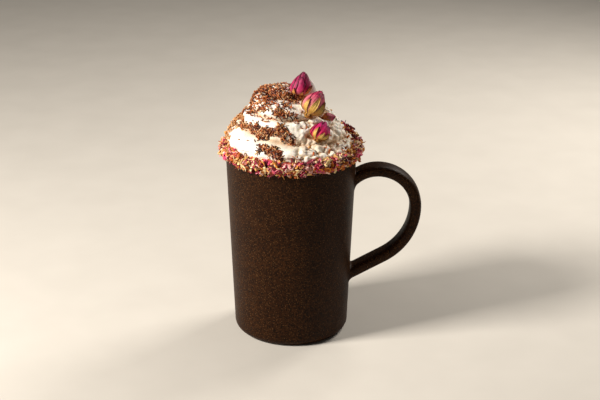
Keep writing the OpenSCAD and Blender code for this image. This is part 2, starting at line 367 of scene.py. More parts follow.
# %% The outline, from the middle of the foot over the lip to the middle of the floor
def mug_outline():
    """Radius and height of each point of the mug's half outline."""
    lean_cos = math.cos(math.radians(wall_lean))
    foot_c = (wall_r(foot_round) - foot_round / lean_cos, foot_round)
    well_z = floor_t + well_round
    well_c = (bore_r(well_z) - well_round / lean_cos, well_z)
    ring_in = foot_c[0] - foot_ring_w
    foot = arc(*foot_c, foot_round, -90, -wall_lean, 10)
    lip = arc(lip_mid_r, mug_h - lip_r, lip_r, -wall_lean, 180 - wall_lean, 16)
    well = arc(*well_c, well_round, -wall_lean, -90, 10)
    (r0, z0), (r1, z1) = foot[-1], lip[0]
    side = [(r0 + (r1 - r0) * i / WALL_ROWS, z0 + (z1 - z0) * i / WALL_ROWS) for i in range(1, WALL_ROWS)]
    recess = [(0, foot_recess), (ring_in - foot_recess, foot_recess), (ring_in, 0)]
    return recess + foot + side + lip + well + [(0, floor_t)]


def spun(outline, around):
    """A bmesh spun on the Z axis from a half outline, each point a radius and a height."""
    bm = bmesh.new()
    chain = [bm.verts.new((r, 0, z)) for r, z in outline]
    edges = [bm.edges.new(pair) for pair in zip(chain, chain[1:])]
    bmesh.ops.spin(bm, geom=chain + edges, cent=(0, 0, 0), axis=(0, 0, 1), dvec=(0, 0, 0),
                   angle=math.tau, steps=around, use_merge=True, use_duplicate=False)
    return bm


def close_poles(bm, merge_mm):
    """Merges the points that meet at the poles and turns all normals outward."""
    bmesh.ops.remove_doubles(bm, verts=bm.verts, dist=merge_mm)
    bmesh.ops.recalc_face_normals(bm, faces=bm.faces)


mug_body = spun(mug_outline(), AROUND_MUG)
close_poles(mug_body, merge_mm=0.001)
print(f"mug body: {len(mug_body.faces)} faces")

# %% [markdown]
# ### The handle
# The handle is a pulled strap: one squarish oval section led along three arcs and a short
# straight run. Two arcs are again a Spin, now of the section about the arc's centre. A potter
# smooths clay into the corner at the wall, so the last rings open out in a hollow curve.

# %% Sizes and centres of the handle's arcs. The root bends more sharply than in the CAD model
strap_t = 7.6
strap_w = 14.0
crest_drop = 12.8
crest_arc_r = 25.0
root_arc_r = 22.0
side_arc_r = 39.6
side_arc_a = 61.0
reach_x = mug_high.x - strap_t / 2
crest_z = mug_h - crest_drop - strap_t / 2
turn_z = crest_z - crest_arc_r
crest_c = Vector((reach_x - crest_arc_r, 0, turn_z))
side_c = Vector((reach_x - side_arc_r, 0, turn_z))
root_c = Vector((crest_c.x, 0, crest_z - root_arc_r))
AROUND_STRAP = 32
SQUARENESS = 0.58
STRAIGHT_RINGS = 5
FLARE_ANGLES = (0, 14, 28, 42, 55, 67, 78, 90)
UNDER_SKIN = 0.5


# %% Lead the section along the crest arc and the side arc
def ring_of(items):
    """The points and the open edges among some geometry."""
    verts = [item for item in items if isinstance(item, bmesh.types.BMVert)]
    edges = [item for item in items if isinstance(item, bmesh.types.BMEdge)]
    return verts, edges


handle = bmesh.new()
crest_ring = bmesh.ops.create_circle(handle, segments=AROUND_STRAP, radius=1.0)["verts"]
for vert in crest_ring:
    thick = strap_t / 2 * squared(vert.co.x, SQUARENESS)
    wide = strap_w / 2 * squared(vert.co.y, SQUARENESS)
    vert.co = crest_c + Vector((0, wide, crest_arc_r + thick))
crest_edges = list(dict.fromkeys(edge for vert in crest_ring for edge in vert.link_edges))
crest_end = bmesh.ops.spin(
    handle, geom=crest_ring + crest_edges, cent=crest_c, axis=(0, 1, 0), dvec=(0, 0, 0),
    angle=math.radians(90), steps=24, use_duplicate=False)["geom_last"]
side_end = bmesh.ops.spin(
    handle, geom=crest_end, cent=side_c, axis=(0, 1, 0), dvec=(0, 0, 0),
    angle=math.radians(side_arc_a), steps=18, use_duplicate=False)["geom_last"]
side_ring, side_edges = ring_of(side_end)
print(f"strap: {len(handle.faces)} faces, side arc ends {side_ring[0].co.z:.1f} mm up")


# %% Open the strap's ends out into the wall
def wall_gap(point):
    """How far outside the wall a point is."""
    return math.hypot(point.x, point.y) - wall_r(point.z)


def reach(path, start, longest):
    """How far a point goes along its path before it meets the wall."""
    near, far = 0.0, longest
    for _ in range(30):
        middle = (near + far) / 2
        near, far = (middle, far) if wall_gap(path(start, middle)) > 0 else (near, middle)
    return near


def drawn_out(bm, ring, edges):
    """Extrudes an open ring. Gives the new ring, in the old one's order, and its edges."""
    new_verts, new_edges = ring_of(bmesh.ops.extrude_edge_only(bm, edges=edges)["geom"])
    partner = {e.other_vert(v): v for v in new_verts for e in v.link_edges if e.other_vert(v) in ring}
    end_edges = [e for e in new_edges if e.is_boundary]
    return [partner[v] for v in ring], end_edges


def into_wall(bm, ring, edges, path, longest, flare_above, flare_below):
    """Leads a ring to the wall, in a hollow flare that ends under the wall's skin."""
    centre = sum((v.co for v in ring), Vector()) / len(ring)
    starts = [v.co.copy() for v in ring]
    outs = [(start - centre).normalized() for start in starts]
    hits = [reach(path, start, longest) for start in starts]
    flares = [flare_below + (flare_above - flare_below) * (out.z + 1) / 2 for out in outs]
    for i in range(1, STRAIGHT_RINGS):
        ring, edges = drawn_out(bm, ring, edges)
        for vert, start, hit, flare in zip(ring, starts, hits, flares):
            vert.co = path(start, (hit - flare) * i / STRAIGHT_RINGS)
    for angle in FLARE_ANGLES:
        turn = math.radians(angle)
        ring, edges = drawn_out(bm, ring, edges)
        for vert, start, out, hit, flare in zip(ring, starts, outs, hits, flares):
            root = path(start, hit)
            on_wall = root + out * flare * (1 - math.cos(turn))
            aside = Vector((on_wall.x, on_wall.y, 0)).normalized()
            depth = wall_gap(on_wall) + (UNDER_SKIN if angle == FLARE_ANGLES[-1] else 0)
            back = path(start, hit - flare * (1 - math.sin(turn))) - root
            vert.co = on_wall - aside * depth + back
    bmesh.ops.holes_fill(bm, edges=edges, sides=0)


def root_path(start, length):
    """Along the bend of the upper root, from the crest towards the wall."""
    turn = Matrix.Rotation(-length / root_arc_r, 3, "Y")
    return root_c + turn @ (start - root_c)


def low_path(start, length):
    """Along the straight run of the lower root, down towards the wall."""
    slant = math.radians(side_arc_a)
    return start + Vector((-math.sin(slant), 0, -math.cos(slant))) * length


into_wall(handle, crest_ring, crest_edges, root_path, longest=30.0, flare_above=0.5, flare_below=5.0)
into_wall(handle, side_ring, side_edges, low_path, longest=60.0, flare_above=3.0, flare_below=3.0)
bmesh.ops.recalc_face_normals(handle, faces=handle.faces)

# %% [markdown]
# A Boolean then joins strap and body, as slip joins clay, so that the mug has one skin. It is
# applied at once, because the export wants a plain mesh.

# %% Join body and strap
body_object = new_object("mug_body_part", new_mesh("mug_body_part", mug_body))
handle_object = new_object("mug_handle_part", new_mesh("mug_handle_part", handle))
union = body_object.modifiers.new("join", "BOOLEAN")
union.operation = "UNION"
union.solver = "EXACT"
union.object = handle_object
joined = body_object.evaluated_get(bpy.context.evaluated_depsgraph_get()).to_mesh()
mug = bmesh.new()
mug.from_mesh(joined)
for scratch in (body_object, handle_object):
    bpy.data.objects.remove(scratch)
bmesh.ops.remove_doubles(mug, verts=mug.verts, dist=0.002)
mug_piece = finish_piece(mug, "stoneware_mug", stoneware, stands_for=["mug"])

# %% [markdown]
# ## The drink
# The drink fills the mug up to the cream, and its CAD solid already has that exact shape, so it
# stays and only gets its finish.

# %% Finish the drink
drink_data = frame["nodes"]["hot_chocolate"].data
drink_data.materials.clear()
drink_data.materials.append(drink_liquid)
print(f"drink: {len(drink_data.polygons)} faces keep their CAD shape")

# %% [markdown]
# ## Whipped cream
# Cream from a piping bag falls in one rope that climbs in shrinking turns, and sags a little.
# Here a flat disc of rings is spun first, and each ring is then lifted to its place: the plug in
# the mug, the skirt over the lip, and the mound up to the peak, which carries the rope as a bulge
# between creases. The export would lose displacement in the shader, so the curds are real.

# %% Sizes of the swirl, the same as in the CAD model but for the small bulge at the peak
cream_h = 38.0
cream_bulge = 4.4
cream_lump = 1.3
cream_r = lip_mid_r - cream_bulge * 0.55
cream_clear = 0.15
crust_rise = 3.6
crust_unevenness = 0.3
crust_gap = 0.2
TURN_CLIMBS, TURN_COUNTS = (-3, 38, 49, 72, 95), (0, 1, 2, 3, 4)
BULGE_TURNS, BULGE_SHARES = (-1, 0, 1, 2, 3, 4), (0.8, 1, 0.62, 0.9, 0.4, 0)
LEAN_HEIGHTS, LEAN_SHARES = (0, 0.35, 0.65, 0.85, 1), (0, -0.07, -0.11, -0.16, -0.2)
PEAK_BULGE = 1.6
SIDE_POWER, TOP_POWER = 1.45, 1.6  # above 1 the mound is slimmer than a dome
AROUND_CREAM = 336
CREAM_ROWS = 190


def mound(climb):
    """Radius and height of the plain mound. A climb of 0 degrees is the lip and 90 the peak."""
    angle = np.radians(climb)
    radius = cream_r * np.maximum(0, np.cos(angle)) ** SIDE_POWER
    return radius, cream_h * np.maximum(0, np.sin(angle)) ** TOP_POWER


def rope(climb, side):
    """Bulge of the rope and how deep in a crease a place is. side runs from 180 to 540 degrees."""
    turns = np.interp(climb, TURN_CLIMBS, TURN_COUNTS) + (side - 180) / 360
    across = turns % 1
    along = np.floor(turns) - (side - 180) / 360
    dome = np.maximum(0, 1 - (2 * across - 1) ** 2) ** 0.75
    bulge = cream_bulge * np.interp(along, BULGE_TURNS, BULGE_SHARES) * dome
    near_peak = np.clip((climb - 80) / 10, 0, 1) ** 2
    return bulge + near_peak * (PEAK_BULGE - bulge), (1 - dome) * (1 - near_peak)


def cream_point(climb, side):
    """The swirl's surface at a climb and a side: x, y, z and the depth of the crease."""
    bulge, crease_depth = rope(climb, side)
    turn = np.radians(side)
    rise = np.radians(climb)
    lumps = (np.sin(7 * turn + 3 * rise) + np.sin(4 * turn - 9 * rise)) / 2
    near_handle = np.maximum(0, np.cos((turn + math.radians(25)) / 2)) ** 2
    out = bulge + cream_lump * near_handle * np.cos(rise) * lumps
    r0, z0 = mound(np.maximum(0, climb - 1))
    r1, z1 = mound(np.minimum(90, climb + 1))
    radius, height = mound(climb)
    steep = np.hypot(r1 - r0, z1 - z0)
    radius = radius + out * (z1 - z0) / steep
    height = height + out * (r0 - r1) / steep
    lean = cream_h * np.interp(height / cream_h, LEAN_HEIGHTS, LEAN_SHARES)
    z = np.maximum(height, 0.5 + climb / 90)
    x, y = radius * np.cos(turn) + lean, radius * np.sin(turn)
    plan = np.hypot(x, y)
    limit = np.where(z < crust_rise * (1 + crust_unevenness) + 1, lip_mid_r - cream_clear, 1e3)
    held = np.minimum(1, limit / np.maximum(plan, 1e-6))
    return x * held, y * held, mug_h + crust_gap + z, crease_depth


# %% [markdown]
# ### Where the chocolate lies
# Grated chocolate was strewn by hand, so it lies in drifts: over the top, along the crease
# between the two tiers, down the far left, and in one patch near the front lip. Each drift is a
# soft stroke between two points, and the sum of the strokes is the density at a place.

# %% Drifts of chocolate: start, end, reach and strength
DRIFTS = [
    ((-27, -2, 150), (-22, -2, 160), 3.2, 0.9),
    ((-20, 2, 161), (-4, -5, 165), 3.6, 0.5),
    ((-13, -7, 161), (0, -9, 160), 3.7, 0.9),
    ((-26, -8, 150), (-7, -22, 153), 2.6, 0.9),
    ((-5, -21, 154), (4, -21, 150), 3.4, 0.5),
    ((-21, -9, 158), (-16, -10, 160), 3.0, 0.6),
    ((-19, -14, 156), (-3, -17, 156), 4.0, 0.42),
    ((-31, 4, 144), (-32, -7, 142), 2.6, 0.7),
    ((-32, -8, 142), (-22, -20, 144), 2.0, 1.0),
    ((-22, -20, 144), (-17, -26, 142), 2.6, 1.2),
    ((-17, -26, 142), (-7, -28, 145), 2.8, 1.2),
    ((-7, -28, 145), (0, -31, 139), 2.6, 1.1),
    ((-36, 4, 140), (-39, -6, 133), 4.2, 0.9),
    ((-18, -33, 135), (-10, -37, 134), 2.6, 0.9),
    ((-10, -36, 133), (-6, -39, 131), 2.2, 0.8),
    ((-16, 8, 160), (-2, 10, 158), 8.0, 0.7),
    ((-31, 6, 144), (-16, 27, 143), 3.6, 0.7),
    ((-36, 12, 138), (-24, 30, 136), 4.0, 0.4),
]
DRIFTS = [(Vector(start), Vector(end), spread, strength) for start, end, spread, strength in DRIFTS]


def chocolate_density(place):
    """How thickly chocolate lies at a place on the cream."""
    found = 0.012
    for start, end, spread, strength in DRIFTS:
        found += strength * math.exp(-(line_distance(place, start, end) / spread) ** 2)
    return found


# %% Spin the disc and lift its rings
def plain_ring(radius, height):
    """A level ring of the swirl's underside or skirt."""
    return lambda side: (radius * np.cos(np.radians(side)), radius * np.sin(np.radians(side)),
                         np.full_like(side, height), np.zeros_like(side))


def peak_ring(side):
    """The last ring, drawn together to one point, so that the peak is closed."""
    return [np.full_like(side, part.mean()) for part in cream_point(np.full_like(side, 90.0), side)]


bore_clear = 0.1
plug_r = bore_r(drink_z) - bore_clear
lip_z = mug_h - lip_r
seat_r = lip_r + crust_gap
cream_rings = [plain_ring(plug_r * share, drink_z) for share in (0, 0.35, 0.7, 0.97)]
cream_rings += [plain_ring(bore_r(z) - bore_clear, z) for z in np.linspace(drink_z + 0.6, lip_z - 1, 7)]
cream_rings += [plain_ring(lip_mid_r + seat_r * math.cos(a), lip_z + seat_r * math.sin(a))
                for a in np.radians((175, 150, 125, 100))]
cream_rings += [lambda side, climb=climb: cream_point(np.full_like(side, climb), side)
                for climb in np.linspace(3.5, 89, CREAM_ROWS)]
cream_rings += [peak_ring]

swirl = spun([(number, 0) for number in range(len(cream_rings))], AROUND_CREAM)
# crease is the mask of the painted shade: how deep in a fold or between curds a point lies.
crease_layer = swirl.verts.layers.float.new("crease")
cocoa_layer = swirl.verts.layers.float.new("cocoa")
by_ring = {}
for vert in swirl.verts:
    by_ring.setdefault(round(vert.co.xy.length), []).append(vert)
for number, members in by_ring.items():
    sides = np.array([180 + (math.degrees(math.atan2(v.co.y, v.co.x)) - 180) % 360 for v in members])
    for vert, x, y, z, depth in zip(members, *cream_rings[number](sides)):
        vert.co = (x, y, z)
        vert[crease_layer] = depth
close_poles(swirl, merge_mm=0.01)
print(f"swirl: {len(swirl.faces)} faces on {len(cream_rings)} rings")

# %% [markdown]
# ### Curds and pores
# Over-whipped cream breaks into soft curds. They lie on the side of the handle, while the turn
# in front on the left stayed smooth. Voronoi distance, rounded off, gives pebbles with creases
# between them, and a fractal noise gives the pores.


# %% Raise the curds along the surface's own normals
CURD_SIZE, CURD_HEIGHT = 5.0, 3.6
SMALL_CURD_SIZE, SMALL_CURD_HEIGHT = 2.4, 1.1
FOLD_HEIGHT = 0.9


def cream_relief(place):
    """How far the cream stands out at a place, and how deep in a crease it is."""
    above_lip = ramp_up(126.5, 130, place.z)
    curdled = ramp_up(-2, 14, place.x - 0.25 * place.y - 6) * above_lip
    wobble = place + 1.6 * noise.noise_vector(place / 4)
    pebble = noise.voronoi(wobble / CURD_SIZE)[0][0]
    small_pebble = noise.voronoi(wobble / SMALL_CURD_SIZE + Vector((9, 4, 2)))[0][0]
    curds = CURD_HEIGHT * (0.35 - pebble ** 2) + SMALL_CURD_HEIGHT * (0.35 - small_pebble ** 2)
    folds = FOLD_HEIGHT * noise.noise(Vector((place.x / 7, place.y / 7, place.z / 4)))
    pores = noise.fractal(place / 1.5, 0.8, 2.0, 3)
    depth = curdled * max(ramp_up(0.45, 0.85, pebble), 0.7 * ramp_up(0.5, 0.9, small_pebble))
    return curdled * curds + folds * above_lip + (0.07 + 0.12 * curdled) * pores, depth


swirl.normal_update()
moves = [(v, *cream_relief(v.co)) for v in swirl.verts if v.co.z > mug_h + 0.4]
for vert, out, depth in [(v, out * v.normal, depth) for v, out, depth in moves]:
    vert.co += out
    # The depth between curds becomes painted shade in the cream's colour.
    vert[crease_layer] = max(depth, vert[crease_layer] - 0.2)
    vert[cocoa_layer] = min(1.0, 0.35 * chocolate_density(vert.co))
print(f"cream relief on {len(moves)} points")

# %% [markdown]
# The last squeeze of the bag left a blunt tip beside the peak. It is a sphere drawn out to a
# leaning cone, half sunk in the mound.

# %% Add the tip of the swirl
tip_foot = Vector((9.6, 2, mug_h + cream_h * 0.6))
tip_lean = Vector((1.5, 0, cream_h * 0.52))
tip_width = 8.0
tip = bmesh.ops.create_uvsphere(swirl, u_segments=48, v_segments=36, radius=1.0)["verts"]
for vert in tip:
    rise = max(0.0, vert.co.z)
    flat = vert.co.xy.normalized() if vert.co.xy.length > 1e-6 else vert.co.xy
    reach_out = tip_width * (math.sqrt(1 - rise ** 1.7) if vert.co.z > 0 else vert.co.xy.length)
    sink = Vector((0, 0, min(0.0, vert.co.z) * 5))
    vert.co = tip_foot + rise * tip_lean + reach_out * Vector((flat.x, 0.8 * flat.y, 0)) + sink
    vert.co += 0.35 * noise.noise(vert.co / 3) * Vector((1, 1, 0.5))
cream_piece = finish_piece(swirl, "whipped_cream_swirl", cream, stands_for=["whipped_cream"])

# %% [markdown]
# ## Rosebuds
# A dried rosebud keeps the order of a living one: a small hip, the sepals that once closed the
# bud, and petals wound round each other to a point. Petal and sepal both start as a flat grid
# that Solidify makes thin but solid, and that is then wrapped round the bud's belly by its own
# two coordinates, across and along.

# %% Bud materials: colour runs from the foot of the petal to its tip
def bud_material(name, stops, fibre_and_edge_shade_hex, fibre_and_edge_shade_share):
    """Wrinkled dried petal or sepal: a ramp along it, with dark fibres and a painted shade along its edges.
    """
    material, shader = new_material(name, stops[-2][1], Roughness=0.6, IOR=PLANT_IOR)
    along = add_node(material, "Attribute", attribute_name="along").outputs["Fac"]
    across = add_node(material, "Attribute", attribute_name="across").outputs["Fac"]
    uneven = noise_of(material, object_place(material), size_mm=2.5, detail=3.0)
    place_along = joined_by(material, "ADD", along, remapped(material, uneven, (0.3, 0.7), (-0.16, 0.16)))
    colour = ramp_of(material, place_along, stops)
    on_leaf = add_node(material, "CombineXYZ", {"X": across, "Y": along}).outputs[0]
    fibre_map = add_node(material, "Mapping", {"Vector": on_leaf, "Scale": (7.0, 1.6, 1.0)}).outputs[0]
    fibre_inputs = {"Vector": fibre_map, "Scale": 1.6, "Detail": 3.0}
    fibre = add_node(material, "TexNoise", fibre_inputs).outputs["Fac"]
    line = remapped(material, fibre, (0.56, 0.68), (0.0, fibre_and_edge_shade_share))
    # The edges are darkened as painted shade, for the gaps where petals and sepals overlap.
    from_middle = add_node(material, "Math", {0: across}, operation="ABSOLUTE").outputs[0]
    edge = remapped(material, from_middle, (0.78, 1.0), (0.0, fibre_and_edge_shade_share))
    fibres_and_edge_shade = joined_by(material, "MAXIMUM", line, edge)
    dress(material, shader, painted_over(material, fibres_and_edge_shade, colour, fibre_and_edge_shade_hex), fibre, 0.7, 0.35)
    return material


# The last two arguments give the dark fibres and the painted shade along the edges.
magenta_petal = bud_material("dried_rose_petal_magenta", [
    (0.0, "#a8602c"), (0.22, "#d0607a"), (0.45, "#c42264"), (0.8, "#9c0e4e"), (1.0, "#680836")],
    "#34061c", 0.85)
salmon_petal = bud_material("dried_rose_petal_salmon", [
    (0.0, "#d09a50"), (0.3, "#e28c80"), (0.6, "#dc6c80"), (0.85, "#b82454"), (1.0, "#7a0a34")],
    "#6e1430", 0.75)
crimson_petal = bud_material("dried_rose_petal_crimson", [
    (0.0, "#c0503a"), (0.3, "#d42656"), (0.6, "#c80c5c"), (0.85, "#b00e62"), (1.0, "#6a0838")],
    "#3c041a", 0.75)
straw_sepal = bud_material("dried_sepal_straw", [
    (0.0, "#9a6220"), (0.25, "#cfa048"), (0.6, "#dfb964"), (1.0, "#b06a34")], "#3c200a", 0.9)
orange_sepal = bud_material("dried_sepal_orange", [
    (0.0, "#8a4a1c"), (0.3, "#d08638"), (0.7, "#dfa055"), (1.0, "#a04a3c")], "#461c0a", 0.85)


# %% Shape of a bud
HIP_SHARE = 0.16
PETALS = 9
SEPALS = 8
GOLDEN_ANGLE = 137.5
LEAF_THICKNESS = 0.2


def belly(t):
    """Radius of a bud at a share of its length, as a share of half its width."""
    if t < HIP_SHARE:
        return 0.30 + 0.12 * math.sin(math.pi * t / HIP_SHARE)
    u = min(1.0, (t - HIP_SHARE) / (1 - HIP_SHARE))
    return 0.30 + 0.70 * math.sin(math.pi * u ** 0.62) ** 0.9 - 0.26 * u ** 3


def petal_outline(along):
    """Width of a petal along its length: broad, with a blunt round tip."""
    return math.sin(math.pi * (0.2 + 0.68 * along))


def sepal_outline(along):
    """Width of a sepal along its length: broadest near the foot, drawn out to a point."""
    return (1 - along) ** 0.8 * (0.75 + 0.9 * along) + 0.05


def wrapped_leaf(bm, size, outline, heading, half_angle, reach_t, layer, twist, seed, tip_curl):
    """A flat leaf with its thickness, wrapped round the bud as one petal or sepal."""
    length, width = size
    foot_t, tip_t = reach_t
    across_layer = bm.verts.layers.float["across"]
    along_layer = bm.verts.layers.float["along"]
    leaf = bmesh.ops.create_grid(bm, x_segments=16, y_segments=16, size=1.0)["verts"]
    faces = list(dict.fromkeys(face for vert in leaf for face in vert.link_faces))
    shell = bmesh.ops.solidify(bm, geom=faces, thickness=LEAF_THICKNESS)["geom"]
    for vert in dict.fromkeys(leaf + ring_of(shell)[0]):
        across, along, outward = vert.co.x, (vert.co.y + 1) / 2, vert.co.z
        ragged = 1 + 0.1 * noise.noise(Vector((along * 5, across * 3, seed)))
        angle = heading + across * half_angle * ragged * outline(along) + twist * along
        t = foot_t + (tip_t - foot_t) * along * (1 - 0.05 * across * across)
        wrinkle = 0.09 * noise.noise(Vector((across * 6, along * 1.3, seed + 5)))
        swell = belly(min(t, 1.0)) * (1 + layer + 0.05 * across + wrinkle) + tip_curl * along ** 4
        radius = width / 2 * swell + outward
        vert.co = (radius * math.cos(angle), radius * math.sin(angle), length * t)
        vert[across_layer] = across
        vert[along_layer] = along


def add_core(bm, size, low_t, high_t, share):
    """A closed bud-shaped core under the leaves, between two shares of the bud's length."""
    length, width = size
    for vert in bmesh.ops.create_uvsphere(bm, u_segments=24, v_segments=20, radius=1.0)["verts"]:
        t = low_t + (high_t - low_t) * (vert.co.z + 1) / 2
        flat = vert.co.xy.normalized() if abs(vert.co.z) < 0.999 else Vector((0, 0))
        radius = width / 2 * share * belly(t)
        vert.co = (radius * flat.x, radius * flat.y, length * t)
        vert[bm.verts.layers.float["along"]] = t


def finish_bud_part(name, build, place, length, bend, material, stands_for=()):
    """Builds one part of a bud, sets it in its place, leans its tip aside and finishes it."""
    bm = bmesh.new()
    bm.verts.layers.float.new("across")
    bm.verts.layers.float.new("along")
    build(bm)
    for vert in bm.verts:
        tip_share = max(0.0, vert.co.z / length)
        vert.co = place @ vert.co + Vector((bend * tip_share ** 2, 0, 0))
    bmesh.ops.recalc_face_normals(bm, faces=bm.faces)
    finish_piece(bm, name, material, stands_for=stands_for)


def make_bud(name, leaves, size, climb, side, along, sink, bend, seed, openness, sepal_reach):
    """Builds one rosebud on the cream: its petals over a core, its sepals over a hip."""
    petal_material, sepal_material = leaves
    length, width = size
    chance = random.Random(seed)
    heading = Vector(along).normalized()
    x, y, z, _ = cream_point(np.array(float(climb)), np.array(float(side)))
    tilt = Matrix.Rotation(math.atan2(heading.y, heading.x), 4, "Z") @ Matrix.Rotation(
        math.acos(heading.z), 4, "Y")
    place = Matrix.Translation(Vector((float(x), float(y), float(z))) - sink * heading) @ tilt

    def petals(bm):
        add_core(bm, size, 0.1, 0.96, 0.86)
        for i in range(PETALS):
            outer = i / (PETALS - 1)
            turn = math.radians(i * GOLDEN_ANGLE + chance.uniform(-12, 12))
            half_angle = math.radians(chance.uniform(50, 68))
            tip_t = chance.uniform(0.93, 1.0) - 0.12 * outer
            wrapped_leaf(bm, size, petal_outline, turn, half_angle, (0.1, tip_t), 0.08 * outer,
                         math.radians(30), seed + i * 3.1, openness * chance.uniform(0.5, 1.3))

    def sepals(bm):
        add_core(bm, size, 0.0, 0.22, 1.0)
        for i in range(SEPALS):
            turn = math.radians(360 / SEPALS * i + chance.uniform(-8, 8))
            half_angle = math.radians(chance.uniform(17, 23))
            tip_t = sepal_reach * chance.uniform(0.72, 1.15)
            wrapped_leaf(bm, size, sepal_outline, turn, half_angle, (0.05, tip_t), 0.16,
                         math.radians(12), seed + 40 + i * 2.3, chance.uniform(0.0, 0.12))

    finish_bud_part(f"{name}_petals", petals, place, length, bend, petal_material, stands_for=[name])
    finish_bud_part(f"{name}_sepals", sepals, place, length, bend, sepal_material)
    return place @ Vector((0, 0, 0)), place @ Vector((bend, 0, length)), width


# %% Make the four buds
buds = [
    make_bud("rosebud_top", (magenta_petal, orange_sepal), size=(18, 12), climb=63.5, side=342,
             along=(-0.3, 0.4, 18), sink=1.0, bend=3.0, seed=11, openness=0.02, sepal_reach=0.46),
    make_bud("rosebud_leaning", (salmon_petal, straw_sepal), size=(19.5, 13.2), climb=47, side=308,
             along=(8.2, 6.5, 15), sink=1.0, bend=1.0, seed=23, openness=0.05, sepal_reach=0.72),
    make_bud("rosebud_front", (crimson_petal, straw_sepal), size=(14, 11.2), climb=28, side=304,
             along=(4, 4.5, 10), sink=1.5, bend=1.8, seed=35, openness=0.2, sepal_reach=0.68),
    make_bud("rosebud_back", (salmon_petal, orange_sepal), size=(10, 5.8), climb=40, side=340,
             along=(9.6, 3, 0.6), sink=4.0, bend=0.0, seed=47, openness=0.02, sepal_reach=0.5),
]

# %% [markdown]
# ## Scattered small things
# Grated chocolate and crumbled petals come in thousands. A particle system could strew them, but
# an export keeps only real meshes. So copies of a few master shapes are joined into one mesh,
# each turned to lie on the surface under it.


# %% Masters: small curved flakes made from a grid
def flake_master(seed, length, width, thick, curl, ragged, rows, tone):
    """A curled flake as a small mesh lying in the XY plane, with its own tone."""
    bm = bmesh.new()
    verts = bmesh.ops.create_grid(bm, x_segments=rows, y_segments=2 if ragged else 1, size=0.5)["verts"]
    for vert in verts:
        x, y = vert.co.x, vert.co.y
        frayed = ragged * noise.noise_vector(Vector((x * 3, y * 3, seed)))
        narrow = 1 - ragged * 1.1 * abs(2 * x) ** 2
        bend = curl * x
        vert.co = (length * (math.sin(bend) / max(abs(curl), 0.01) * math.copysign(1, curl) + frayed.x * 0.5),
                   width * (y * narrow + frayed.y * 0.6) + 0.12 * length * math.sin(x * 2 + seed),
                   length * ((1 - math.cos(bend)) / max(abs(curl), 0.01) + frayed.z * 0.3))
    bmesh.ops.recalc_face_normals(bm, faces=bm.faces)
    bmesh.ops.solidify(bm, geom=bm.faces, thickness=thick)
    tone_layer = bm.verts.layers.float.new("tone")
    for vert in bm.verts:
        vert[tone_layer] = tone
    return new_mesh(f"master_{seed}", bm)


# %% Choose places on a surface and join the copies
def spots_on(mesh, density, count, chance):
    """Random places on a mesh, by density: place and outward direction, in millimetres.

    Spin numbers its faces in another order each time, so they are sorted by their corners.
    """
    corners_of = [sorted(tuple(mesh.vertices[i].co) for i in face.vertices) for face in mesh.polygons]
    faces = sorted(mesh.polygons, key=lambda face: corners_of[face.index])
    weights = [face.area * density(face.center / MM, face.normal) for face in faces]
    for face in chance.choices(faces, weights, k=count):
        corners = [Vector(corner) for corner in corners_of[face.index]]
        shares = [chance.random() for _ in corners]
        place = sum((c * s for c, s in zip(corners, shares)), Vector()) / sum(shares)
        yield place / MM, face.normal.copy()


def strew(masters, spots, chance, most_tilt, lift, sizes):
    """One bmesh of copies: each spot gets a random master, turned and tilted at random."""
    bm = bmesh.new()
    for place, outward in spots:
        copy = chance.choice(masters).copy()
        stand = outward.to_track_quat("Z", "Y").to_matrix().to_4x4()
        turn = Matrix.Rotation(chance.uniform(0, math.tau), 4, "Z")
        tilt = Matrix.Rotation(math.radians(chance.uniform(-most_tilt, most_tilt)), 4, "X")
        rock = Matrix.Rotation(math.radians(chance.uniform(-most_tilt, most_tilt)), 4, "Y")
        grow = Matrix.Scale(chance.uniform(*sizes), 4)
        raised = place + outward * chance.uniform(*lift)
        copy.transform(Matrix.Translation(raised) @ stand @ turn @ tilt @ rock @ grow)
        bm.from_mesh(copy)
        bpy.data.meshes.remove(copy)
    return bm


def masters_of(count, seed, lengths, widths, thick, curls, ragged, rows):
    """A set of masters whose size, curl and tone differ."""
    chance = random.Random(seed)
    return [flake_master(seed * 100 + i, chance.uniform(*lengths), chance.uniform(*widths), thick,
                         chance.uniform(*curls) * chance.choice((-1, 1)), ragged, rows, chance.random())
            for i in range(count)]


# %% [markdown]
# ### Petal crust
# The lip was wetted and dipped in crumbled petals, which stuck together in a ragged crust. Its
# core is a copy of the CAD ring, drawn in a little and roughened, in the mixed colours of packed
# crumbs, so that no bare lip shows between the flakes that follow further down.

# %% The crust's core
CORE_SKIN = 0.3
LUMP_SIZE, CRUMB_SIZE = 2.2, 0.9
crust_core = bmesh.new()
crust_core.from_mesh(frame["nodes"]["petal_crust"].data)
bmesh.ops.remove_doubles(crust_core, verts=crust_core.verts, dist=0.01 * MM)
bmesh.ops.scale(crust_core, vec=(1 / MM, 1 / MM, 1 / MM), verts=crust_core.verts)
crust_core.normal_update()
bmesh.ops.subdivide_edges(crust_core, edges=crust_core.edges, cuts=2, use_grid_fill=True)
for vert in crust_core.verts:
    plan = vert.co.xy.length
    from_lip = Vector((plan - lip_mid_r, vert.co.z - lip_z))
    spare = from_lip.length - seat_r - CORE_SKIN
    if spare > 0:
        lumps = 0.25 * noise.noise(vert.co / LUMP_SIZE) + 0.3 * noise.noise(vert.co / CRUMB_SIZE)
        kept = seat_r + CORE_SKIN + spare * (0.5 + lumps)
        from_lip *= kept / from_lip.length
        vert.co.xy *= (lip_mid_r + from_lip.x) / plan
        vert.co.z = lip_z + from_lip.y
core_tone = crust_core.verts.layers.float.new("tone")
for vert in crust_core.verts:
    vert[core_tone] = 0.4 + 0.9 * noise.noise(vert.co / 1.3)
core_piece = finish_piece(
    crust_core, "petal_crust_core", packed_crumbs, stands_for=["petal_crust"])

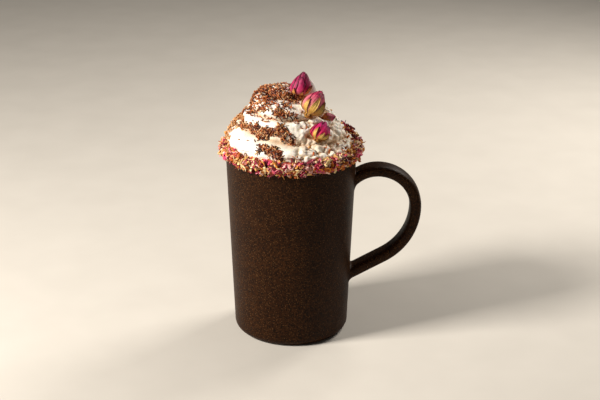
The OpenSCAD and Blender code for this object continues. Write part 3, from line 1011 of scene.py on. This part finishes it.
# %% [markdown]
# ### Grated chocolate
# A fine grater takes off narrow curled threads one to three millimetres long. Dark, milk and
# pale shavings each are a piece of their own. The pale ones are painted highlight, for lit
# shavings, and lie thickest on the far left, where the light falls.

# %% Strew the chocolate
def clear_of_buds(place, margin):
    """False inside a bud, so that nothing is strewn there."""
    return all(line_distance(place, foot, tip) > width * 0.36 + margin for foot, tip, width in buds)


def on_cream(place, outward):
    """Density of shavings, none in the mug, on the lip or under a bud."""
    if place.z < mug_h + 1.5 or outward.z < -0.2 or not clear_of_buds(place, 0):
        return 0.0
    if line_distance(place, tip_foot, tip_foot + tip_lean) < 0.9 * tip_width:
        return 0.0
    clumps = ramp_up(-0.5, 0.4, noise.noise(place / 2.4)) + 0.08
    return clumps * chocolate_density(place) ** 1.3


def pale_highlight_density(place, outward):
    """Pale shavings, a painted highlight, lie thickest on the far left, where the light falls."""
    return on_cream(place, outward) * (0.8 + 1.6 * ramp_up(24, 34, -place.x))


def pale_highlight_on_crust(place, outward):
    """Pale shavings, a painted highlight, that slid down over the far left of the crust."""
    return ramp_up(0.2, 0.8, outward.z) * ramp_up(26, 38, -place.x) * ramp_up(lip_z, lip_z + 2, place.z)


def brown_density(place, outward):
    """Brown shavings thin out on the far left."""
    return on_cream(place, outward) * (0.22 + ramp_up(-34, -26, place.x))


CHOCOLATE_COUNTS = {"dark": 800, "milk": 1000, "pale": 800}
PALE_HIGHLIGHT_ON_CRUST_COUNT = 260
for number, (kind, count) in enumerate(CHOCOLATE_COUNTS.items()):
    chance = random.Random(500 + number)
    masters = masters_of(14, 60 + number, lengths=(1.3, 3.4), widths=(0.5, 1.0), thick=0.18,
                         curls=(0.3, 1.9), ragged=0.0, rows=3)
    density = pale_highlight_density if kind == "pale" else brown_density
    spots = list(spots_on(cream_piece.data, density, count, chance))
    if kind == "pale":
        spots += spots_on(core_piece.data, pale_highlight_on_crust, PALE_HIGHLIGHT_ON_CRUST_COUNT, chance)
    shavings = strew(masters, spots, chance, most_tilt=32, lift=(0.0, 0.7), sizes=(0.8, 1.25))
    finish_piece(shavings, f"chocolate_shavings_{kind}", chocolate_materials[kind])

# %% [markdown]
# ### Flakes of the crust
# The crumbled petals are broken pieces, 2 to 6 mm long, that lie in all directions and in small
# clumps of one colour. Each colour is strewn over the core by its own clumps.

# %% Flakes on the core, thicker in some clumps
def on_crust(place, outward):
    """Density of flakes on the crust: none against the lip, more where crumbs clumped."""
    off_lip = math.hypot(place.xy.length - lip_mid_r, place.z - lip_z)
    if off_lip < seat_r + 0.8 * CORE_SKIN:
        return 0.0
    clumps = 0.5 + ramp_up(-0.4, 0.35, noise.noise(place / 6))
    hidden_left = 0.45 * ramp_up(28, 38, -place.x) * ramp_up(lip_z, lip_z + 2, place.z)
    return clumps * (1 - hidden_left)


def heading_window(place, middle, half_width):
    """1 where a place's heading about the mug is near a given one, falling to 0 beside it."""
    heading = math.degrees(math.atan2(place.y, place.x))
    apart = abs((heading - middle + 180) % 360 - 180)
    return ramp_up(-half_width, 0, -apart)


PETAL_COUNTS = {"pink": 460, "blush": 350, "orange": 640, "straw": 460, "maroon": 340}
for number, (kind, count) in enumerate(PETAL_COUNTS.items()):
    chance = random.Random(900 + number)
    masters = masters_of(16, 80 + number, lengths=(2.2, 5.6), widths=(1.2, 2.7), thick=0.2,
                         curls=(0.3, 1.9), ragged=0.42, rows=3)
    drift = Vector((20 * number, 7, 3))

    def own_clumps(place, outward, drift=drift):
        """Crumbs of one colour tend to lie together."""
        return on_crust(place, outward) * (0.35 + ramp_up(-0.2, 0.35, noise.noise(place / 5 + drift)))

    spots = spots_on(core_piece.data, own_clumps, count, chance)
    flakes = strew(masters, spots, chance, most_tilt=58, lift=(-0.2, 1.2), sizes=(0.75, 1.15))
    finish_piece(flakes, f"petal_flakes_{kind}", petal_materials[kind])


# %% [markdown]
# ### Larger petals
# Some petals stayed nearly whole and dried into curls. They lie in a heap at the back on the
# right, and a few hang from the crust at the front.

# %% Larger curled petals
def on_heap(place, outward):
    """Where the larger petals lie."""
    heap = heading_window(place, 44, 24) * ramp_up(lip_z + 0.5, lip_z + 2.5, place.z)
    hanging = heading_window(place, -126, 6) * ramp_up(0.3, 0.8, -outward.y)
    return heap + 0.5 * hanging


CURL_COUNTS = {"maroon": 62, "straw": 26, "pink": 22}
for number, (kind, count) in enumerate(CURL_COUNTS.items()):
    chance = random.Random(77 + number)
    masters = masters_of(8, 93 + number, lengths=(3.4, 6.6), widths=(1.3, 2.6), thick=0.2,
                         curls=(1.0, 2.6), ragged=0.35, rows=5)
    spots = spots_on(core_piece.data, on_heap, count, chance)
    curls = strew(masters, spots, chance, most_tilt=75, lift=(0.0, 2.4), sizes=(0.8, 1.1))
    finish_piece(curls, f"petal_curls_{kind}", petal_materials[kind])


# %% [markdown]
# ### Crumbs on the cream
# A few orange crumbs fell off the crust onto the curds beside it, and lie flat there.

# %% A few petal crumbs that fell on the cream
def stray_density(place, outward):
    """Crumbs strayed onto the right half of the cream, near the lip."""
    near_lip = ramp_up(150, 132, place.z)
    return near_lip * ramp_up(4, 22, place.x) * (place.z > mug_h + 2.5) * clear_of_buds(place, 1)


STRAY_COUNT = 26
chance = random.Random(90)
masters = masters_of(10, 99, lengths=(1.6, 4.2), widths=(0.9, 1.8), thick=0.18,
                     curls=(0.2, 1.6), ragged=0.42, rows=3)
spots = spots_on(cream_piece.data, stray_density, STRAY_COUNT, chance)
strays = strew(masters, spots, chance, most_tilt=35, lift=(0.0, 0.4), sizes=(0.8, 1.1))
finish_piece(strays, "petal_flakes_stray", petal_materials["orange"])

# %% [markdown]
# ## Stage, light and camera
# The mug stands on a plain pale floor. A soft light from the front left gives the warm side of
# the glaze and the bright cream, a weak one from behind on the right gives the thin gloss along
# the handle, and the pale surroundings fill the shade.

# %% Floor and surroundings
floor_bm = bmesh.new()
bmesh.ops.create_grid(floor_bm, x_segments=2, y_segments=2, size=4.0)
floor = new_object("floor", new_mesh("floor", floor_bm))
floor_paint, floor_shader = new_material("matt_pale_paint", "#d2cdc4", Roughness=0.8)
floor_grain = noise_of(floor_paint, object_place(floor_paint), size_mm=40, detail=2.0)
floor_tone = ramp_of(floor_paint, floor_grain, [(0.3, "#cfcac2"), (0.7, "#d3cec6")])
connect(floor_paint, floor_tone, floor_shader.inputs["Base Color"])
floor.data.materials.append(floor_paint)

world = bpy.data.worlds.new("soft_room")
world.use_nodes = True
world.node_tree.nodes["Background"].inputs["Color"].default_value = linear("#ece6de")
world.node_tree.nodes["Background"].inputs["Strength"].default_value = 0.075
bpy.context.scene.world = world
bpy.context.scene.view_settings.view_transform = "Standard"


# %% Lights
def soft_light(name, place, aim, size, watts, colour_hex):
    """A square area light that looks at a point."""
    lamp = bpy.data.lights.new(name, "AREA")
    lamp.size = size
    lamp.energy = watts
    lamp.color = linear(colour_hex)[:3]
    light = new_object(name, lamp)
    light.location = place
    light.rotation_euler = (Vector(aim) - Vector(place)).to_track_quat("-Z", "Y").to_euler()


middle = (0, 0, 0.1)
soft_light("key_front_left", (-0.74, -0.31, 0.66), middle, size=0.24, watts=15.5, colour_hex="#fff8ee")
soft_light("rim_back_right", (0.5, 0.45, 0.55), middle, size=0.3, watts=5, colour_hex="#fff8ee")

# %% Camera
lens_mm = 87.85
sensor_mm = 36.0
look_at = Vector((0, 0, 0.0879))
camera = new_object("camera", bpy.data.cameras.new("camera"))
camera.data.lens = lens_mm
camera.data.sensor_width = sensor_mm
camera.data.shift_x = 0.0148
camera.location = (0, -0.8837, 0.4367)
camera.rotation_euler = (look_at - camera.location).to_track_quat("-Z", "Y").to_euler()
bpy.context.scene.camera = camera
